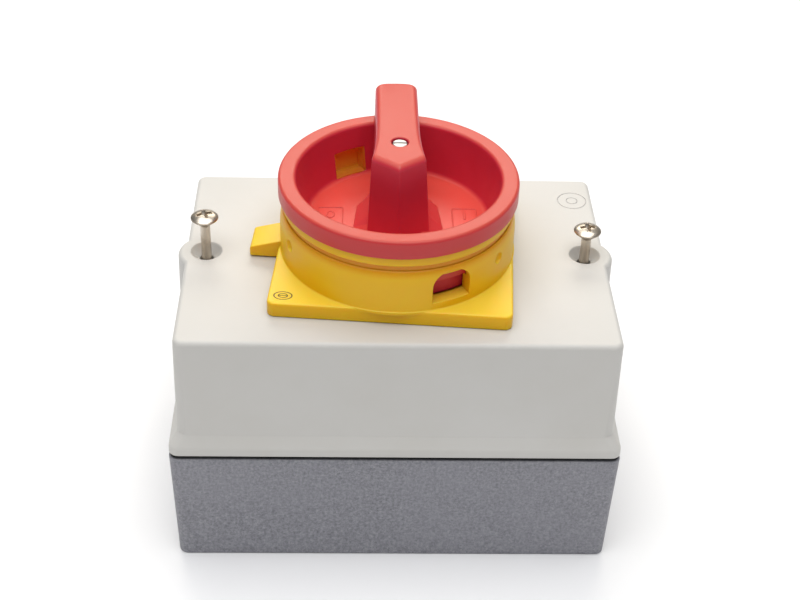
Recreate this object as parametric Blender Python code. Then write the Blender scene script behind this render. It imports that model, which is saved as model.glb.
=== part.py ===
"""Rotary isolator switch in a moulded enclosure: red and yellow handle on a cream cover, grey base.

Lengths below are in millimetres and are scaled to metres when a mesh is made. The origin is the
middle of the base's underside, +Z runs out through the cover, +X along the longer side, and at
rest the grip points to +Y, which is ON. OFF is a quarter turn anticlockwise.
"""

import math

import bmesh
import bpy
from mathutils import Matrix, Vector

MM = 0.001
GAP = 0.3  # left between pieces that touch

# Enclosure
BASE_TOP_X, BASE_TOP_Y, BASE_HEIGHT = 168.0, 118.4, 50.5
COVER_TOP_X, COVER_TOP_Y, ENCLOSURE_HEIGHT = 160.0, 110.4, 102.3
COVER_BOTTOM, FLANGE_TOP = 52.1, 60.2
DRAFT = 0.0194  # sideways per unit of height
WALL = 3.0
CORNER = 3.4
LOBE_X, LOBE_Y, LOBE_R = 72.3, 1.5, 10.7  # the screw lobes, left and right
POST_R = 7.0

# Handle, front plate and lock slide
PLATE_SIDE, PLATE_THICK, PLATE_TURN = 88.4, 6.0, math.radians(-4.7)
PLATE_FRONT = -43.0  # the near edge stands this far from the axis, the other three half a side
COLLAR_R, COLLAR_TOP = 43.94, 125.2
COLLAR_INNER_R, COLLAR_FOOT_R, COLLAR_STEP = 41.05, 38.8, 117.0  # bore above and below the step
RIM_R, RIM_INNER_R, RIM_TOP, RIM_BOTTOM = 44.4, 37.8, 138.6, 131.3
FLOOR_R, FLOOR_TOP, FLOOR_THICK = 34.8, 118.8, 3.0
BOWL_R, SKIRT_R, SKIRT_BOTTOM, SKIRT_TOP = 40.7, 38.0, 111.0, 117.8
GRIP_TOP, GRIP_ROUND = 152.3, 2.2  # the head's edges are rounded by GRIP_ROUND, more at the point
GRIP_FOOT = (9.2, 9.1, 9.5, 11.8, -12.5, -19.5)  # half widths, then Y of the corners and the point
GRIP_HEAD, GRIP_LEAN = (8.0, 8.0, 8.1, 9.9, -10.7, -18.0), -0.5
RING_IN, RING_OUT, RING_LIP_R, RING_LOW, RING_LIP, RING_HIGH = 41.05, 41.45, 43.1, 121.8, 127.3, 130.9
RING_STEPS = 64  # sides of every large round piece
HUB_R, HUB_BOTTOM = 7.2, 103.4
SHAFT_SIDE, SHAFT_BOTTOM, SHAFT_TOP = 6.0, 12.0, 134.0
SOCKET_SIDE, SOCKET_TOP = 6.6, 135.2
BOWL_WINDOWS = (121.5, 205.2)  # degrees round from +X at rest
WINDOW_Y, WINDOW_TOP = (-7.2, 6.2), 129.8
ARCH_AZIMUTH, ARCH_WIDTH, ARCH_SILL, ARCH_SPRING, ARCH_CROWN = -60.1, 14.8, 111.1, 118.8, 123.8
DIMPLE_AZIMUTHS = (-30.0, -150.0)
SLIDE_TIP, SLIDE_ROOT, SLIDE_INNER, SLIDE_WIDTH = -55.5, -44.3, -27.0, 13.5

# Cover screws: how far each stands out of its seat at rest
SCREW_HEAD_R, SCREW_R, SCREW_LENGTH = 5.2, 1.9, 66.0
SCREW_HEAD_TOP = {"left": 119.4, "right": 115.4}

# Switch mechanism
BLOCK_SIDE, BLOCK_HEIGHT = 50.0, 15.0
PLATE_BOTTOM, PLATE_TOP = 8.0, 9.5  # mounting plate
CAM_R, CAM_LIFT = 8.0, 4.0  # contact carriers travel CAM_LIFT over the quarter turn
CAM_BORE = 13.3
STAR_R, STAR_DIP = 9.0, 1.5  # the latch wheel's mean radius, and the depth of its four dips
TIE_BOLT = 20.0  # from the axis, along X and along Y
PLATE_SCREWS = ((-42.0, -30.0), (42.0, 30.0))
EARTH_X, EARTH_Y = -60.0, -36.0
FRONT_PLATE_SCREWS = ((-37.0, -37.0), (37.0, 37.0))
CHAMBER_BOTTOMS = {"lower": PLATE_TOP + GAP, "upper": PLATE_TOP + 2 * GAP + BLOCK_HEIGHT}
LATCH_BOTTOM = PLATE_TOP + 3 * GAP + 2 * BLOCK_HEIGHT
LATCH_HEIGHT = 14.0
CAP_BOTTOM = LATCH_BOTTOM + LATCH_HEIGHT + GAP
CAP_HEIGHT = 3.0
STRIP_X, STRIP_Y = (13.4, 15.2), (6.2, 33.0)  # fixed contact: its two faces, inner and outer end
TERMINAL_Y = 29.0


# ---------------------------------------------------------------- modelling helpers


def clear_scene():
    for item in list(bpy.data.objects):
        bpy.data.objects.remove(item)


def material(name, colour, roughness, metallic=0.0):
    made = bpy.data.materials.get(name) or bpy.data.materials.new(name)
    made.use_nodes = True
    shader = made.node_tree.nodes["Principled BSDF"]
    shader.inputs["Base Color"].default_value = (*colour, 1.0)
    shader.inputs["Roughness"].default_value = roughness
    shader.inputs["Metallic"].default_value = metallic
    return made


def new_object(name, points, faces, finish=None):
    """A mesh object from points in millimetres, its faces turned outwards."""
    mesh = bpy.data.meshes.new(name)
    mesh.from_pydata([Vector(point) * MM for point in points], [], faces)
    work = bmesh.new()
    work.from_mesh(mesh)
    bmesh.ops.recalc_face_normals(work, faces=work.faces)
    work.to_mesh(mesh)
    work.free()
    made = bpy.data.objects.new(name, mesh)
    bpy.context.scene.collection.objects.link(made)
    if finish:
        mesh.materials.append(finish)
    return made


def loft(name, sections, finish=None):
    """A closed solid through outlines of equally many points, lowest first: (z, [(x, y), ...])."""
    count = len(sections[0][1])
    points = [(x, y, z) for z, outline in sections for x, y in outline]
    last = (len(sections) - 1) * count
    faces = [list(range(count))[::-1], [last + i for i in range(count)]]
    for level in range(len(sections) - 1):
        low = level * count
        for i in range(count):
            j = (i + 1) % count
            faces.append([low + i, low + j, low + count + j, low + count + i])
    return new_object(name, points, faces, finish)


def prism(name, outline, bottom, top, finish=None):
    return loft(name, [(bottom, outline), (top, outline)], finish)


def box(name, low, high, finish=None):
    (x0, y0, z0), (x1, y1, z1) = low, high
    return prism(name, [(x0, y0), (x1, y0), (x1, y1), (x0, y1)], z0, z1, finish)


def turned(name, profile, steps, finish=None):
    """A solid of revolution about Z. The profile is a closed loop of (radius, z)."""
    points, rings = [], []
    for radius, z in profile:
        if radius < 1e-6:
            rings.append([len(points)] * steps)
            points.append((0.0, 0.0, z))
            continue
        rings.append([len(points) + i for i in range(steps)])
        for i in range(steps):
            angle = 2 * math.pi * i / steps
            points.append((radius * math.cos(angle), radius * math.sin(angle), z))
    faces = []
    for lower, upper in zip(rings, rings[1:] + rings[:1]):
        if lower[0] == lower[1] and upper[0] == upper[1]:
            continue
        for i in range(steps):
            j = (i + 1) % steps
            corners = [lower[i], lower[j], upper[j], upper[i]]
            faces.append([c for n, c in enumerate(corners) if c not in corners[:n]])
    return new_object(name, points, faces, finish)


def arc(centre_x, centre_y, radius, start, end, steps):
    """Points along an arc, its angles in degrees, both ends included."""
    angles = [math.radians(start + (end - start) * i / steps) for i in range(steps + 1)]
    return [(centre_x + radius * math.cos(a), centre_y + radius * math.sin(a)) for a in angles]


def rounded_rectangle(half_x, half_y, radius, steps=3):
    corners = ((1, 1, 0), (-1, 1, 90), (-1, -1, 180), (1, -1, 270))
    outline = []
    for side_x, side_y, start in corners:
        centre = (side_x * (half_x - radius), side_y * (half_y - radius))
        outline += arc(*centre, radius, start, start + 90, steps)
    return outline


def square(side):
    half = side / 2
    return [(-half, -half), (half, -half), (half, half), (-half, half)]


def moved(item, x=0.0, y=0.0, z=0.0, turn=0.0, tilt=0.0):
    """Shifts a mesh within its object, after tilting it about Y and turning it about Z."""
    shift = Matrix.Translation(Vector((x, y, z)) * MM)
    item.data.transform(shift @ Matrix.Rotation(turn, 4, "Z") @ Matrix.Rotation(tilt, 4, "Y"))
    return item


def combine(item, others, operation):
    """Applies one Boolean for each of the others, and removes them."""
    for other in others:
        step = item.modifiers.new(operation.title(), "BOOLEAN")
        step.operation = operation
        step.solver = "EXACT"
        step.object = other
    bpy.context.view_layer.update()
    graph = bpy.context.evaluated_depsgraph_get()
    result = bpy.data.meshes.new_from_object(item.evaluated_get(graph))
    item.modifiers.clear()
    item.data = result
    for other in others:
        bpy.data.objects.remove(other)
    return item


def cut(item, *others):
    return combine(item, others, "DIFFERENCE")


def join(item, *others):
    return combine(item, others, "UNION")


def copy(item, name):
    made = item.copy()
    made.name = name
    bpy.context.scene.collection.objects.link(made)
    return made


def smooth(item, sharp=35.0):
    item.data.shade_smooth()
    item.data.set_sharp_from_angle(angle=math.radians(sharp))
    return item


def placed(item, x=0.0, y=0.0, z=0.0, turn=0.0):
    item.location = Vector((x, y, z)) * MM
    item.rotation_euler.z = turn
    return item


# ---------------------------------------------------------------- finishes

clear_scene()
CREAM = material("cream moulding", (0.86, 0.84, 0.79), 0.5)
GREY = material("grey moulding", (0.17, 0.17, 0.19), 0.7)
RED = material("red moulding", (0.72, 0.055, 0.045), 0.42)
YELLOW = material("yellow moulding", (0.85, 0.50, 0.03), 0.42)
BLACK = material("black rubber", (0.012, 0.012, 0.013), 0.8)
DARK = material("dark moulding", (0.05, 0.05, 0.055), 0.6)
STEEL = material("zinc plated steel", (0.62, 0.58, 0.54), 0.32, 1.0)
BRASS = material("brass", (0.72, 0.52, 0.22), 0.35, 1.0)
COPPER = material("copper", (0.78, 0.42, 0.28), 0.35, 1.0)


# ---------------------------------------------------------------- enclosure


def tapered(half_x, half_y, radius, bottom, top, slope, name, finish=None):
    """A rounded box that changes by slope for each unit of height above its bottom."""
    grow = slope * (top - bottom)
    return loft(name, [(bottom, rounded_rectangle(half_x, half_y, radius)),
                       (top, rounded_rectangle(half_x + grow, half_y + grow, radius))], finish)


def knock_out(side, y):
    """The thin round groove of a cable entry in an end wall."""
    ring = turned("groove", [(12.0, -1.0), (13.0, -1.0), (13.0, 0.7), (12.0, 0.7)], 24)
    wall = BASE_TOP_X / 2 - DRAFT * (BASE_HEIGHT - 26.0)
    return moved(ring, side * (wall + 0.1), y, 26.0, tilt=-side * math.pi / 2)


def make_base():
    half_x, half_y = BASE_TOP_X / 2, BASE_TOP_Y / 2
    foot = DRAFT * BASE_HEIGHT
    edge = 0.8
    base = loft("base_box", [
        (0.0, rounded_rectangle(half_x - foot - edge, half_y - foot - edge, CORNER - edge)),
        (edge, rounded_rectangle(half_x - foot, half_y - foot, CORNER)),
        (BASE_HEIGHT, rounded_rectangle(half_x, half_y, CORNER))], GREY)
    hollow = tapered(half_x - foot - WALL, half_y - foot - WALL, 2.0, WALL, BASE_HEIGHT + 2.0,
                     DRAFT, "hollow")
    cut(base, hollow)
    posts = []
    for side in (-1, 1):
        post = prism("post", arc(0, 0, POST_R, 0, 345, 23), WALL - 1.0, BASE_HEIGHT)
        web = box("web", (0, -4, WALL - 1), (side * 10.2, 4, BASE_HEIGHT - 1.0))
        posts += [moved(post, side * LOBE_X, LOBE_Y), moved(web, side * LOBE_X, LOBE_Y)]
    for x, y in PLATE_SCREWS:
        posts.append(moved(prism("boss", arc(0, 0, 5.0, 0, 330, 11), WALL - 1, 7.7), x, y))
    posts.append(box("earth_boss", (EARTH_X - 6, EARTH_Y - 8, WALL - 1),
                     (EARTH_X + 6, EARTH_Y + 8, 9.0)))
    join(base, *posts)
    holes = []
    for side in (-1, 1):
        bore = turned("bore", [(0, 24), (2.5, 24), (2.5, 38), (3.6, 38), (3.6, 60), (0, 60)], 16)
        holes.append(moved(bore, side * LOBE_X, LOBE_Y))
        for y in (-27.0, 27.0):
            holes.append(knock_out(side, y))
    for x, y in PLATE_SCREWS:
        holes.append(moved(prism("hole", arc(0, 0, 1.8, 0, 324, 9), 3.6, 12), x, y))
    for x in (-68.0, 68.0):
        for y in (-44.0, 44.0):
            holes.append(moved(prism("hole", arc(0, 0, 2.6, 0, 330, 11), -5, 8), x, y))
    holes.append(moved(prism("hole", arc(0, 0, 1.8, 0, 324, 9), 3.6, 12), EARTH_X, EARTH_Y))
    return smooth(cut(base, *holes))


def make_gasket():
    """Flat seal between base and cover, set a little way in from the outer faces."""
    half_x, half_y, width = BASE_TOP_X / 2 - 0.4, BASE_TOP_Y / 2 - 0.4, 2.5
    low, high = BASE_HEIGHT + GAP, COVER_BOTTOM - GAP
    ring = prism("gasket", rounded_rectangle(half_x, half_y, CORNER - 0.4), low, high, BLACK)
    inside = prism("inside", rounded_rectangle(half_x - width, half_y - width, 1.4),
                   low - 1, high + 1)
    return cut(ring, inside)


def cover_outline(grow):
    """The cover's plan with a round lobe on each short side, grown by an even margin."""
    half_x, half_y = COVER_TOP_X / 2 + grow, COVER_TOP_Y / 2 + grow
    radius = LOBE_R + grow
    reach = math.degrees(math.acos((half_x - LOBE_X) / radius))
    corner = CORNER + grow
    inner_x, inner_y = half_x - corner, half_y - corner
    return (arc(LOBE_X, LOBE_Y, radius, -reach, reach, 8)
            + arc(inner_x, inner_y, corner, 0, 90, 3)
            + arc(-inner_x, inner_y, corner, 90, 180, 3)
            + arc(-LOBE_X, LOBE_Y, radius, 180 - reach, 180 + reach, 8)
            + arc(-inner_x, -inner_y, corner, 180, 270, 3)
            + arc(inner_x, -inner_y, corner, 270, 360, 3))


def make_cover():
    top = ENCLOSURE_HEIGHT
    edge = 1.8
    rounding = [(top - edge * (1 - math.sin(a)), cover_outline(-edge * (1 - math.cos(a))))
                for a in (math.radians(30 * i) for i in range(4))]
    cover = loft("cover", [(COVER_BOTTOM + 1, cover_outline(DRAFT * (top - COVER_BOTTOM)))]
                 + rounding, CREAM)
    half_x, half_y = COVER_TOP_X / 2, COVER_TOP_Y / 2
    skirt, waist = 3.95, DRAFT * (top - FLANGE_TOP)
    flange = loft("flange", [
        (COVER_BOTTOM, rounded_rectangle(half_x + skirt, half_y + skirt, CORNER + 0.6)),
        (FLANGE_TOP - 5.2, rounded_rectangle(half_x + skirt - 0.1, half_y + skirt - 0.1, CORNER)),
        (FLANGE_TOP - 3.4, rounded_rectangle(half_x + skirt - 1.1, half_y + skirt - 1.1, CORNER)),
        (FLANGE_TOP, rounded_rectangle(half_x + waist - 0.1, half_y + waist - 0.1, CORNER)),
    ])
    join(cover, flange)
    rebate = (half_x + 0.9, half_y + 0.9, 2.0)
    hollow = loft("hollow", [
        (COVER_BOTTOM - 1, rounded_rectangle(*rebate)),
        (COVER_BOTTOM + 4.4, rounded_rectangle(*rebate)),
        (FLANGE_TOP - 0.6, rounded_rectangle(half_x + waist - WALL, half_y + waist - WALL, 2.0)),
        (top - WALL, rounded_rectangle(half_x - WALL, half_y - WALL, 2.0))])
    cut(cover, hollow)
    posts = []
    for side in (-1, 1):
        post = prism("post", arc(0, 0, POST_R, 0, 345, 23), COVER_BOTTOM, top - 1.5)
        web = box("web", (0, -4, COVER_BOTTOM + 0.6), (side * 9.5, 4, top - 1.5))
        posts += [moved(post, side * LOBE_X, LOBE_Y), moved(web, side * LOBE_X, LOBE_Y)]
    join(cover, *posts)
    holes = [turned("shaft_hole", [(0, 90), (8.0, 90), (8.0, 110), (0, 110)], 24)]
    for side in (-1, 1):
        bore = turned("screw_hole", [(0, 40), (4.8, 40), (4.8, COVER_BOTTOM + 2.2),
                                     (2.65, COVER_BOTTOM + 2.2), (2.65, top - 3.5),
                                     (5.6, top - 0.55), (5.6, top + 4), (0, top + 4)], 24)
        holes.append(moved(bore, side * LOBE_X, LOBE_Y))
    for x, y in FRONT_PLATE_SCREWS:
        turn = Matrix.Rotation(PLATE_TURN, 2) @ Vector((x, y))
        holes.append(moved(prism("hole", arc(0, 0, 1.9, 0, 330, 11), 90, 110), *turn))
    return smooth(cut(cover, *holes))


def make_screw(side):
    """Raised countersunk cross-head screw, its origin on the screw's axis at the head's top."""
    profile = [(0, 0), (2.2, -0.2), (3.9, -0.75), (SCREW_HEAD_R, -1.7), (SCREW_HEAD_R, -2.05),
               (SCREW_R, -5.0), (SCREW_R, 1.2 - SCREW_LENGTH), (1.1, -SCREW_LENGTH),
               (0, -SCREW_LENGTH)]
    screw = turned("cover_screw_" + side, profile, 24, STEEL)
    arms = []
    for turn in (0.0, math.pi / 2):
        arm = loft("arm", [(-2.2, [(-0.8, -0.35), (0.8, -0.35), (0.8, 0.35), (-0.8, 0.35)]),
                           (0.4, [(-2.7, -0.6), (2.7, -0.6), (2.7, 0.6), (-2.7, 0.6)])])
        arms.append(moved(arm, turn=turn + (0.35 if side == "left" else 0.1)))
    cut(screw, join(arms[0], arms[1]))
    where = -LOBE_X if side == "left" else LOBE_X
    return smooth(placed(screw, where, LOBE_Y, SCREW_HEAD_TOP[side]))


def make_screw_rings():
    """The brass insert in each post of the base, and the ring that keeps each screw captive."""
    insert = turned("insert_left", [(2.3, 38.4), (3.3, 38.4), (3.3, 49.9), (2.3, 49.9)], 16, BRASS)
    low, high = COVER_BOTTOM + 0.2, COVER_BOTTOM + 1.8
    retainer = turned("screw_retainer_left", [(2.25, low), (4.4, low), (4.4, high), (2.25, high)],
                      16, BLACK)
    for item in (insert, retainer):
        other = copy(item, item.name.replace("left", "right"))
        placed(smooth(item), -LOBE_X, LOBE_Y)
        placed(other, LOBE_X, LOBE_Y)


# ---------------------------------------------------------------- handle and front plate


def make_front_plate():
    """Square plate with the round collar on it, in the plate's own turned frame."""
    low, high, half = ENCLOSURE_HEIGHT + GAP, ENCLOSURE_HEIGHT + PLATE_THICK, PLATE_SIDE / 2
    deep, middle = (half - PLATE_FRONT) / 2, (half + PLATE_FRONT) / 2
    plate = loft("front_plate", [
        (z, [(x, y + middle) for x, y in
             rounded_rectangle(half - inset, deep - inset, CORNER - 0.4 - inset)])
        for z, inset in ((low, 0), (high - 0.9, 0), (high - 0.25, 0.25), (high, 0.9))], YELLOW)
    collar = turned("collar", [
        (COLLAR_FOOT_R, high - 1.0), (COLLAR_R, high - 1.0), (COLLAR_R, 118.0),
        (COLLAR_R - 0.2, 120.2), (COLLAR_R - 0.6, 122.2), (COLLAR_R - 1.0, 123.8),
        (COLLAR_R - 1.4, COLLAR_TOP - 0.2), (42.2, COLLAR_TOP), (42.2, 121.5),
        (COLLAR_INNER_R, 121.5), (COLLAR_INNER_R, COLLAR_STEP + 0.6),
        (COLLAR_FOOT_R, COLLAR_STEP)], RING_STEPS)
    join(plate, collar)
    half_arch = ARCH_WIDTH / 2
    crown = [(half_arch * math.cos(a), ARCH_SPRING + (ARCH_CROWN - ARCH_SPRING) * math.sin(a))
             for a in (math.radians(22.5 * i) for i in range(9))]
    arch = prism("arch", [(-half_arch, ARCH_SILL), (half_arch, ARCH_SILL)] + crown, 36.0, 50.0)
    stand = Matrix(((0, 0, 1, 0), (1, 0, 0, 0), (0, 1, 0, 0), (0, 0, 0, 1)))
    arch.data.transform(stand)
    cutters = [moved(arch, turn=math.radians(ARCH_AZIMUTH))]
    for azimuth in DIMPLE_AZIMUTHS:
        cone = turned("dimple", [(0, -0.9), (1.9, 0.6), (1.9, 2.0), (0, 2.0)], 12)
        cone.data.transform(Matrix.Translation((COLLAR_R * MM, 0, 119.0 * MM))
                            @ Matrix.Rotation(math.pi / 2, 4, "Y"))
        cutters.append(moved(cone, turn=math.radians(azimuth)))
    clear = SLIDE_WIDTH / 2 + GAP
    cutters.append(box("slot", (-50, -clear, low - 5), (-17, clear, 110.4)))
    cutters.append(turned("bore", [(0, 90), (9.0, 90), (9.0, 115), (0, 115)], 24))
    for x, y in FRONT_PLATE_SCREWS:
        cutters.append(moved(prism("hole", arc(0, 0, 1.75, 0, 324, 9), 90, 106.5), x, y))
    cut(plate, *cutters)
    return smooth(placed(plate, turn=PLATE_TURN))


def make_lock_slide():
    """Wedge-topped bolt that slides in towards the axis under the bowl."""
    low = ENCLOSURE_HEIGHT + 0.6
    outline = [(SLIDE_TIP, low), (SLIDE_INNER, low), (SLIDE_INNER, 110.0), (SLIDE_ROOT, 110.0),
               (SLIDE_TIP + 0.9, 107.1), (SLIDE_TIP, 106.3)]
    half = SLIDE_WIDTH / 2
    slide = prism("lock_slide", outline, -half, half, YELLOW)
    slide.data.transform(Matrix(((1, 0, 0, 0), (0, 0, 1, 0), (0, 1, 0, 0), (0, 0, 0, 1))))
    slide.data.flip_normals()
    return placed(slide, turn=PLATE_TURN)


def make_handle_ring():
    """Thin ring snapped round the bowl, with a lip that closes the gap under the rim."""
    return smooth(turned("handle_ring", [
        (RING_IN, RING_LOW), (RING_OUT, RING_LOW), (RING_OUT, RING_LIP), (RING_LIP_R, RING_LIP + 0.3),
        (RING_LIP_R, RING_HIGH), (RING_IN, RING_HIGH)], RING_STEPS, YELLOW))


def grip_outline(sizes, inset=0.0, lean=0.0):
    """The grip's plan: round far end on the rim's circle, a waist, then a point at the front."""
    side, back, waist = (size - inset for size in sizes[:3])
    front, front_y, tip = sizes[3] - 0.75 * inset, sizes[4] + 1.1 * inset, sizes[5] + 1.5 * inset
    reach = RIM_R - 0.1 - 0.45 * inset
    far = math.degrees(math.acos(back / reach))
    right = [(front, front_y), (waist, 10.0), (side, 22.0), (back, 40.5)]
    outline = right + arc(0, 0, reach, far + 1.5, 180 - far - 1.5, 6) + [
        (-x, y) for x, y in reversed(right)] + [(0.0, tip)]
    return [(x + lean, y) for x, y in outline]


def make_handle():
    top, under = RIM_TOP, FLOOR_TOP - FLOOR_THICK
    bowl = turned("handle", [
        (0, under), (SKIRT_R - 2.6, under), (SKIRT_R - 2.4, SKIRT_BOTTOM), (SKIRT_R, SKIRT_BOTTOM),
        (SKIRT_R, SKIRT_TOP), (BOWL_R, SKIRT_TOP + 0.6), (BOWL_R, RIM_BOTTOM),
        (RIM_R - 0.3, RIM_BOTTOM),
        (RIM_R, RIM_BOTTOM + 0.4), (RIM_R, top - 1.2), (RIM_R - 0.35, top - 0.35),
        (RIM_R - 1.2, top), (RIM_INNER_R + 1.2, top), (RIM_INNER_R + 0.3, top - 0.4),
        (RIM_INNER_R - 0.1, top - 1.4), (FLOOR_R + 0.2, FLOOR_TOP + 0.8),
        (FLOOR_R - 0.6, FLOOR_TOP), (0, FLOOR_TOP)], RING_STEPS, RED)
    low = FLOOR_TOP - 1.0
    rounds = [(GRIP_TOP - GRIP_ROUND * (1 - math.sin(a)), GRIP_ROUND * (1 - math.cos(a)))
              for a in (0.0, math.radians(35), math.radians(65))]
    grip = loft("grip", [(low, grip_outline(GRIP_FOOT))] + [
        (z, grip_outline(GRIP_HEAD, inset, GRIP_LEAN))
        for z, inset in rounds + [(GRIP_TOP, 0.8 * GRIP_ROUND)]])
    below_rim = turned("below_rim", [(39.8, 100), (60, 100), (60, 134.0), (39.8, 134.0)], RING_STEPS)
    cut(grip, below_rim)
    plinth_foot = [(-12.6, 12.4), (-15.2, 8.4), (-16.6, -6), (-12, -21), (12, -21), (16.6, -6),
                   (15.2, 8.4), (12.6, 12.4)]
    plinth_top = [(-8.5, 11.5), (-9.0, 8.2), (-10.2, -6), (-6, -14), (6, -14), (10.2, -6),
                  (9.0, 8.2), (8.5, 11.5)]
    plinth = loft("plinth", [(low, plinth_foot), (FLOOR_TOP + 0.2, plinth_foot),
                             (FLOOR_TOP + 6.5, plinth_top)])
    hub = turned("hub", [(0, HUB_BOTTOM), (HUB_R - 0.5, HUB_BOTTOM), (HUB_R, HUB_BOTTOM + 0.5),
                         (HUB_R, FLOOR_TOP - 1), (0, FLOOR_TOP - 1)], 24)
    join(bowl, plinth, grip, hub)
    socket = prism("socket", square(SOCKET_SIDE), HUB_BOTTOM - 5, SOCKET_TOP)
    bore = turned("screw_hole", [(0, SOCKET_TOP - 1), (1.8, SOCKET_TOP - 1), (1.8, 148.6),
                                 (3.1, 148.6), (3.1, GRIP_TOP + 3), (0, GRIP_TOP + 3)], 20)
    cutters = [socket, bore]
    for azimuth in BOWL_WINDOWS:
        window = box("window", (34.0, WINDOW_Y[0], FLOOR_TOP + 0.35), (44.0, WINDOW_Y[1], WINDOW_TOP))
        cutters.append(moved(window, turn=math.radians(azimuth)))
    return smooth(cut(bowl, *cutters))


def make_handle_screw():
    """Slotted screw that clamps the grip to the shaft."""
    top = GRIP_TOP - 0.5
    screw = turned("handle_screw", [(0, top - 15.2), (1.4, top - 15.2), (1.4, 149.0),
                                    (2.7, 149.0), (2.7, top - 0.3), (2.4, top), (0, top)],
                   16, STEEL)
    slot = box("slot", (-4, -0.45, top - 0.8), (4, 0.45, top + 1))
    return smooth(cut(screw, slot))


def make_shaft_seal():
    return smooth(turned("shaft_seal", [(4.7, 99.6), (7.6, 99.6), (7.6, 102.1), (4.7, 102.1)],
                         24, BLACK))


def make_front_plate_screws():
    """Screws up through the cover's top into the front plate's corners."""
    under = ENCLOSURE_HEIGHT - WALL - GAP
    profile = [(0, under - 2.2), (3.0, under - 2.2), (3.2, under), (1.45, under),
               (1.45, 106.0), (0, 106.0)]
    first = smooth(turned("front_plate_screw_1", profile, 12, STEEL))
    for number, (x, y) in enumerate(FRONT_PLATE_SCREWS, start=1):
        screw = first if number == 1 else copy(first, f"front_plate_screw_{number}")
        turn = Matrix.Rotation(PLATE_TURN, 2) @ Vector((x, y))
        placed(screw, *turn)


# ---------------------------------------------------------------- switch mechanism


def tie_bolt_holes(bottom, top):
    return [moved(prism("hole", arc(0, 0, 1.8, 0, 324, 9), bottom, top), s * TIE_BOLT, s * TIE_BOLT)
            for s in (-1, 1)]


def make_mounting_plate():
    plate = prism("mounting_plate", rounded_rectangle(50.0, 40.0, 3.0), PLATE_BOTTOM,
                  PLATE_TOP, STEEL)
    holes = tie_bolt_holes(0, 20)
    for x, y in PLATE_SCREWS:
        holes.append(moved(prism("hole", arc(0, 0, 1.9, 0, 324, 9), 0, 20), x, y))
    cut(plate, *holes)
    low = PLATE_TOP + GAP
    profile = [(0, 4.2), (1.5, 4.2), (1.5, low), (3.2, low), (3.0, low + 2.2), (0, low + 2.2)]
    first = smooth(turned("plate_screw_1", profile, 12, STEEL))
    placed(first, *PLATE_SCREWS[0])
    placed(copy(first, "plate_screw_2"), *PLATE_SCREWS[1])


def make_contact_housing():
    """One contact chamber: central cam bore, a window each side for a carrier, four strip slots."""
    half, middle = BLOCK_SIDE / 2, BLOCK_HEIGHT / 2
    block = prism("contact_housing_lower", rounded_rectangle(half, half, 3.0, 1), 0,
                  BLOCK_HEIGHT, DARK)
    cutters = [turned("bore", [(0, -5), (CAM_BORE, -5), (CAM_BORE, 25), (0, 25)], 32)]
    cutters += tie_bolt_holes(-5, 25)
    for side in (-1, 1):
        x = sorted((side * 12.0, side * 22.6))
        cutters.append(box("chamber", (x[0], -10.5, middle - 4.5), (x[1], 10.5, middle + 4.5)))
        x = sorted((side * 9.0, side * 30.0))
        cutters.append(box("guide", (x[0], -4.4, middle - 3.4), (x[1], 4.4, middle + 3.4)))
        x = sorted((side * 13.1, side * 15.6))
        cutters.append(box("strips", (x[0], -30.0, middle - 2.9), (x[1], 30.0, middle + 2.9)))
    cut(block, *cutters)
    upper = copy(block, "contact_housing_upper")
    placed(block, z=CHAMBER_BOTTOMS["lower"])
    placed(upper, z=CHAMBER_BOTTOMS["upper"])


def make_contacts():
    """Fixed strips with terminal screws, sliding carriers and their bridges, for both chambers."""
    middle = BLOCK_HEIGHT / 2
    strip = box("strip", (STRIP_X[0], STRIP_Y[0], -2.5), (STRIP_X[1], STRIP_Y[1], 2.5), COPPER)
    hole = turned("hole", [(0, -20), (1.8, -20), (1.8, 20), (0, 20)], 10)
    cut(strip, moved(hole, 14.0, TERMINAL_Y, 0, tilt=math.pi / 2))
    screw = turned("screw", [(0, -7.0), (1.5, -7.0), (1.5, 0), (3.1, 0), (3.0, 2.2), (0, 2.2)],
                   10, STEEL)
    cut(screw, box("slot", (-4, -0.4, 1.3), (4, 0.4, 4)))
    screw.data.transform(Matrix.Rotation(math.pi / 2, 4, "Y"))
    carrier = join(box("carrier", (10.4, -4.0, -3.0), (20.4, 4.0, 3.0), BLACK),
                   prism("nose", arc(10.4, 0, 1.1, 90, 270, 6), -3.0, 3.0))
    cut(carrier, box("bridge_slot", (15.2, -6.0, -1.7), (17.6, 6.0, 5.0)))
    bridge = box("bridge", (15.5, -9.6, -1.4), (17.2, 9.6, 2.6), COPPER)
    for chamber, bottom in CHAMBER_BOTTOMS.items():
        z = bottom + middle
        for side, turn in (("right", 0.0), ("left", math.pi)):
            placed(copy(carrier, f"contact_carrier_{chamber}_{side}"), z=z, turn=turn)
            placed(copy(bridge, f"contact_bridge_{chamber}_{side}"), z=z, turn=turn)
        for number, (side_x, side_y) in enumerate(((1, 1), (-1, 1), (-1, -1), (1, -1)), start=1):
            flip = Matrix.Diagonal((side_x, side_y, 1, 1))
            fixed = copy(strip, f"fixed_contact_{chamber}_{number}")
            clamp = copy(screw, f"terminal_screw_{chamber}_{number}")
            fixed.data = strip.data.copy()
            fixed.data.transform(flip)
            if side_x * side_y < 0:
                fixed.data.flip_normals()
            placed(fixed, z=z)
            placed(clamp, side_x * (STRIP_X[1] + GAP), side_y * TERMINAL_Y, z,
                   0.0 if side_x > 0 else math.pi)
    for item in (strip, screw, carrier, bridge):
        bpy.data.objects.remove(item)


def cam_radius(angle):
    """Two equal spirals, so that a carrier each side moves evenly as the shaft turns."""
    spiral = 2 * CAM_LIFT / math.pi
    start, run, back = math.radians(-105), math.radians(120), math.radians(60)
    along = (angle - start) % math.pi
    high = CAM_R - spiral * start
    if along <= run:
        return high - spiral * along
    return high - spiral * run + spiral * run * (along - run) / back


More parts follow.
